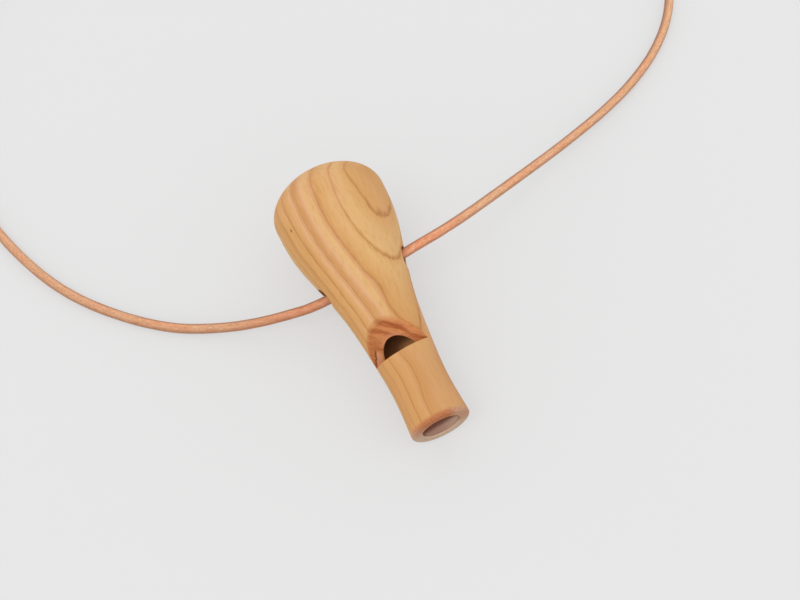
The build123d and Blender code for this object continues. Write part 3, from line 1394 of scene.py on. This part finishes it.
@dataclass
class Lace:
    """The leather neck lace: two legs out of the hole and the square knot that joins them. Millimetres."""

    lathe: LatheFrame
    leather: RoundLeather = RoundLeather()
    knot: SquareKnot = SquareKnot()
    radius: float = 1.4
    half_span: float = 13.5
    skew: float = 0.9
    dip: float = 1.25
    left_length: float = 295.0
    right_length: float = 315.0
    line_order: int = 3
    line_steps: int = 16
    sides: int = 20
    swell: float = 0.06
    leg_step: float = 0.7
    knot_step: float = 0.4
    knot_start: float = 330.0
    tube: LaceTube = field(init=False)
    sweep_inputs: Dict[str, Any] = field(init=False)

    def __post_init__(self) -> None:
        """Make the tube's nodes and the leather once."""
        self.tube = LaceTube()
        self.sweep_inputs = {
            "Radius": self.radius * MM,
            "Sides": self.sides,
            "Swell": self.swell * MM,
            "Material": self.leather.material(),
        }

    def _from_hole(self, along: float, up: float, across: float) -> Point:
        """A point by the lace hole: along the axis, square to the hole and out through the hole."""
        square = self.lathe.hole_direction.cross(self.lathe.axis)
        direction = self.lathe.axis * along + square * up + self.lathe.hole_direction * across
        return tuple(self.lathe.hole_centre + direction)

    def route(self, leg: Leg) -> List[Point]:
        """Route points of one leg, from the middle of the hole to the knot.

        Args:
            leg: which leg.

        Returns:
            The route's points.
        """
        r, knot = self.radius, self.knot
        end = knot.length / 2
        if leg is Leg.LEFT:
            return [
                self._from_hole(0, 0, 0),
                self._from_hole(-self.skew, -self.dip, -self.half_span),
                (10.6, 26.8, 6.0), (14.1, 35.3, 3.2), (17.9, 43.6, 1.8), (22.0, 51.7, r),
                (27.6, 59.2, r), (34.4, 66.3, r), (42.3, 73.0, r), (51.6, 78.7, r),
                (62.2, 83.2, r), (74.0, 86.8, r), (87.0, 89.3, r), (101.0, 90.2, r),
                (116.0, 88.9, r), (131.0, 85.2, r), (145.6, 79.2, r), (158.4, 70.2, r),
                (167.4, 58.0, r), (170.6, 43.6, r), (168.8, 29.6, r), (163.4, 16.4, r),
                knot.point(end + knot.lead, knot.strand_offset, r),
                knot.point(end, knot.strand_offset, r),
            ]
        return [
            self._from_hole(0, 0, 0),
            self._from_hole(self.skew, self.dip, self.half_span),
            (10.8, -26.2, 17.0), (15.6, -38.8, 13.7), (21.0, -52.1, 10.3), (26.3, -65.6, 7.2),
            (31.8, -79.5, 4.6), (37.6, -93.8, 2.7), (44.4, -108.0, 1.7), (53.2, -121.4, r),
            (64.4, -132.4, r), (77.6, -139.6, r), (91.6, -141.2, r), (104.4, -136.4, r),
            (113.8, -126.4, r), (119.6, -112.4, r), (123.6, -95.0, r), (127.8, -78.0, r),
            (133.0, -61.6, r), (138.0, -47.0, r),
            knot.point(-end - knot.lead, knot.strand_offset, r),
            knot.point(-end, knot.strand_offset, r),
        ]

    def smooth(self, name: str, points: Sequence[Point]) -> List[Vector]:
        """The smooth line that route points control, read from a NURBS spline.

        Args:
            name: name for the curve.
            points: control points in millimetres.

        Returns:
            The line's points in metres.
        """
        curve = bpy.data.curves.new(name + "_route", "CURVE")
        curve.dimensions = "3D"
        spline = curve.splines.new("NURBS")
        spline.points.add(len(points) - 1)
        for control, point in zip(spline.points, points):
            control.co = (point[0] * MM, point[1] * MM, point[2] * MM, 1.0)
        spline.order_u = self.line_order
        spline.use_endpoint_u = True
        spline.resolution_u = self.line_steps
        carrier = linked(name + "_route", curve)
        line = evaluated_mesh(carrier)
        found = [vertex.co.copy() for vertex in line.vertices]
        bpy.data.objects.remove(carrier)
        bpy.data.curves.remove(curve)
        bpy.data.meshes.remove(line)
        return found

    def _swept(
        self, name: str, route: Sequence[Point], step: float, start: float = 0.0,
    ) -> Tuple[bpy.types.Object, List[Vector]]:
        """Sweep the lace along route points.

        Args:
            name: the piece's name.
            route: the points that control its line, in millimetres.
            step: distance from one round of the tube to the next.
            start: how far along the lace the piece's grain starts.

        Returns:
            The piece, and the points of its line in metres.
        """
        line = self.smooth(name, route)
        inputs = {**self.sweep_inputs, "Step": step * MM, "Start": start * MM}
        return linked(name, self.tube.sweep(name, line, inputs)), line

    @staticmethod
    def _hang(piece: bpy.types.Object, node: str) -> None:
        """Let a piece ride on the lace in place of a node."""
        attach(piece, "lace")
        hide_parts(node)

    def build_leg(self, leg: Leg) -> bpy.types.Object:
        """Args:
            leg: which leg.

        Returns:
            The leg's piece.
        """
        piece, line = self._swept(leg.value + "_leather", self.route(leg), self.leg_step)
        self._hang(piece, leg.value)
        out, length = (-1, self.left_length) if leg is Leg.LEFT else (1, self.right_length)
        exit_point = Vector(self._from_hole(0, 0, out * self.half_span)) * MM
        length * MM
        2 * self.radius * MM
        [tuple(point) for point in line]
        return piece

    def build_knot(self) -> bpy.types.Object:
        """Tie the square knot from its two strands, each with a short tail.

        Returns:
            The knot's piece.
        """
        strands = []
        for high in (True, False):
            name = "knot_strand_high" if high else "knot_strand_low"
            route = self.knot.strand(high, self.radius)
            strand, _ = self._swept(name, route, self.knot_step, self.knot_start)
            strands.append(strand)
        piece = strands[0]
        joined = {"object": piece, "active_object": piece, "selected_editable_objects": strands}
        with bpy.context.temp_override(**joined):
            bpy.ops.object.join()
        piece.name = "lace_knot_tied"
        self._hang(piece, "lace_knot")
        return piece

    def build(self) -> List[bpy.types.Object]:
        """Build the knot and both legs.

        Returns:
            The three pieces.
        """
        knot_piece = self.build_knot()
        return [knot_piece] + [self.build_leg(leg) for leg in Leg]


# The studio

@dataclass(frozen=True)
class Studio:
    """A pale floor, light from all round with a soft key lamp, and the camera of the photograph."""

    camera_place: Point = (-0.2419, 0.1077, 0.4367)
    camera_target: Point = (0.00457, -0.00941, 0.0)
    lens: float = 81.0
    sensor: float = 36.0
    clip_start: float = 0.01
    floor_half: float = 4.0
    floor_colour: Colour = paint(150, 150, 150)
    floor_roughness: float = 0.9
    floor_specular: float = 0.0
    floor_glow: float = 0.494
    black: Colour = paint(0, 0, 0)
    white: Colour = paint(255, 255, 255)
    walls: float = 1.6
    ceiling: float = 0.47
    key: float = 0.6
    key_spread: float = 35.0
    key_direction: Point = (-0.25, 0.45, 0.85)

    def build(self) -> None:
        """Set up the floor, the lights and the camera."""
        bpy.context.scene.view_settings.view_transform = "Standard"
        self._floor()
        self._world()
        self._key()
        self._camera()

    def _floor(self) -> None:
        """A plain table top whose glow is seen but lights nothing."""
        half = self.floor_half
        corners = [(-half, -half, 0), (half, -half, 0), (half, half, 0), (-half, half, 0)]
        mesh = bpy.data.meshes.new("table_top")
        mesh.from_pydata(corners, [], [(0, 1, 2, 3)])
        top = linked("table_top", mesh)
        skin = Surface("table_paint")
        rays = ("Is Camera Ray", "Is Glossy Ray", "Is Transmission Ray")
        camera, glossy, through = (skin.node("ShaderNodeLightPath", output=ray) for ray in rays)
        glow = skin.mix(camera.most(glossy, through), self.black, self.white)
        mesh.materials.append(skin.finish(
            Base_Color=self.floor_colour, Roughness=self.floor_roughness,
            Specular_IOR_Level=self.floor_specular,
            Emission_Color=glow, Emission_Strength=self.floor_glow,
        ))

    def _world(self) -> None:
        """Light all round, brighter from the walls than from the ceiling."""
        world = bpy.data.worlds.new("studio_light")
        world.use_nodes = True
        world.node_tree.nodes.clear()
        sketch = NodeSketch(world.node_tree)
        direction = sketch.node("ShaderNodeTexCoord", output="Generated")
        height = sketch.parts(direction)[2]
        strength = height * (self.ceiling - self.walls) + self.walls
        light = sketch.node("ShaderNodeBackground", None, {"Color": self.white, "Strength": strength})
        sketch.node("ShaderNodeOutputWorld", None, {"Surface": light})
        bpy.context.scene.world = world

    def _key(self) -> None:
        """One broad, soft lamp."""
        key = bpy.data.lights.new("key", "SUN")
        key.energy = self.key
        key.angle = math.radians(self.key_spread)
        lamp = linked("key", key)
        lamp.rotation_euler = Vector(self.key_direction).to_track_quat("Z", "Y").to_euler()

    def _camera(self) -> None:
        """The camera that took the photograph."""
        lens = bpy.data.cameras.new("photo_camera")
        lens.lens = self.lens
        lens.sensor_width = self.sensor
        lens.clip_start = self.clip_start
        camera = linked("photo_camera", lens)
        camera.location = self.camera_place
        aim = Vector(self.camera_target) - Vector(self.camera_place)
        camera.rotation_euler = aim.to_track_quat("-Z", "Y").to_euler()
        bpy.context.scene.camera = camera


def main() -> None:
    """Build the whistle, the lace and the studio."""
    logging.basicConfig(level=logging.INFO, format="%(name)s: %(message)s")
    whistle = Whistle()
    lace = Lace(whistle.lathe)
    for piece in whistle.build() + lace.build():
        log.info("%s: %d faces", piece.name, len(piece.data.polygons))
    Studio().build()


if __name__ == "__main__":
    main()
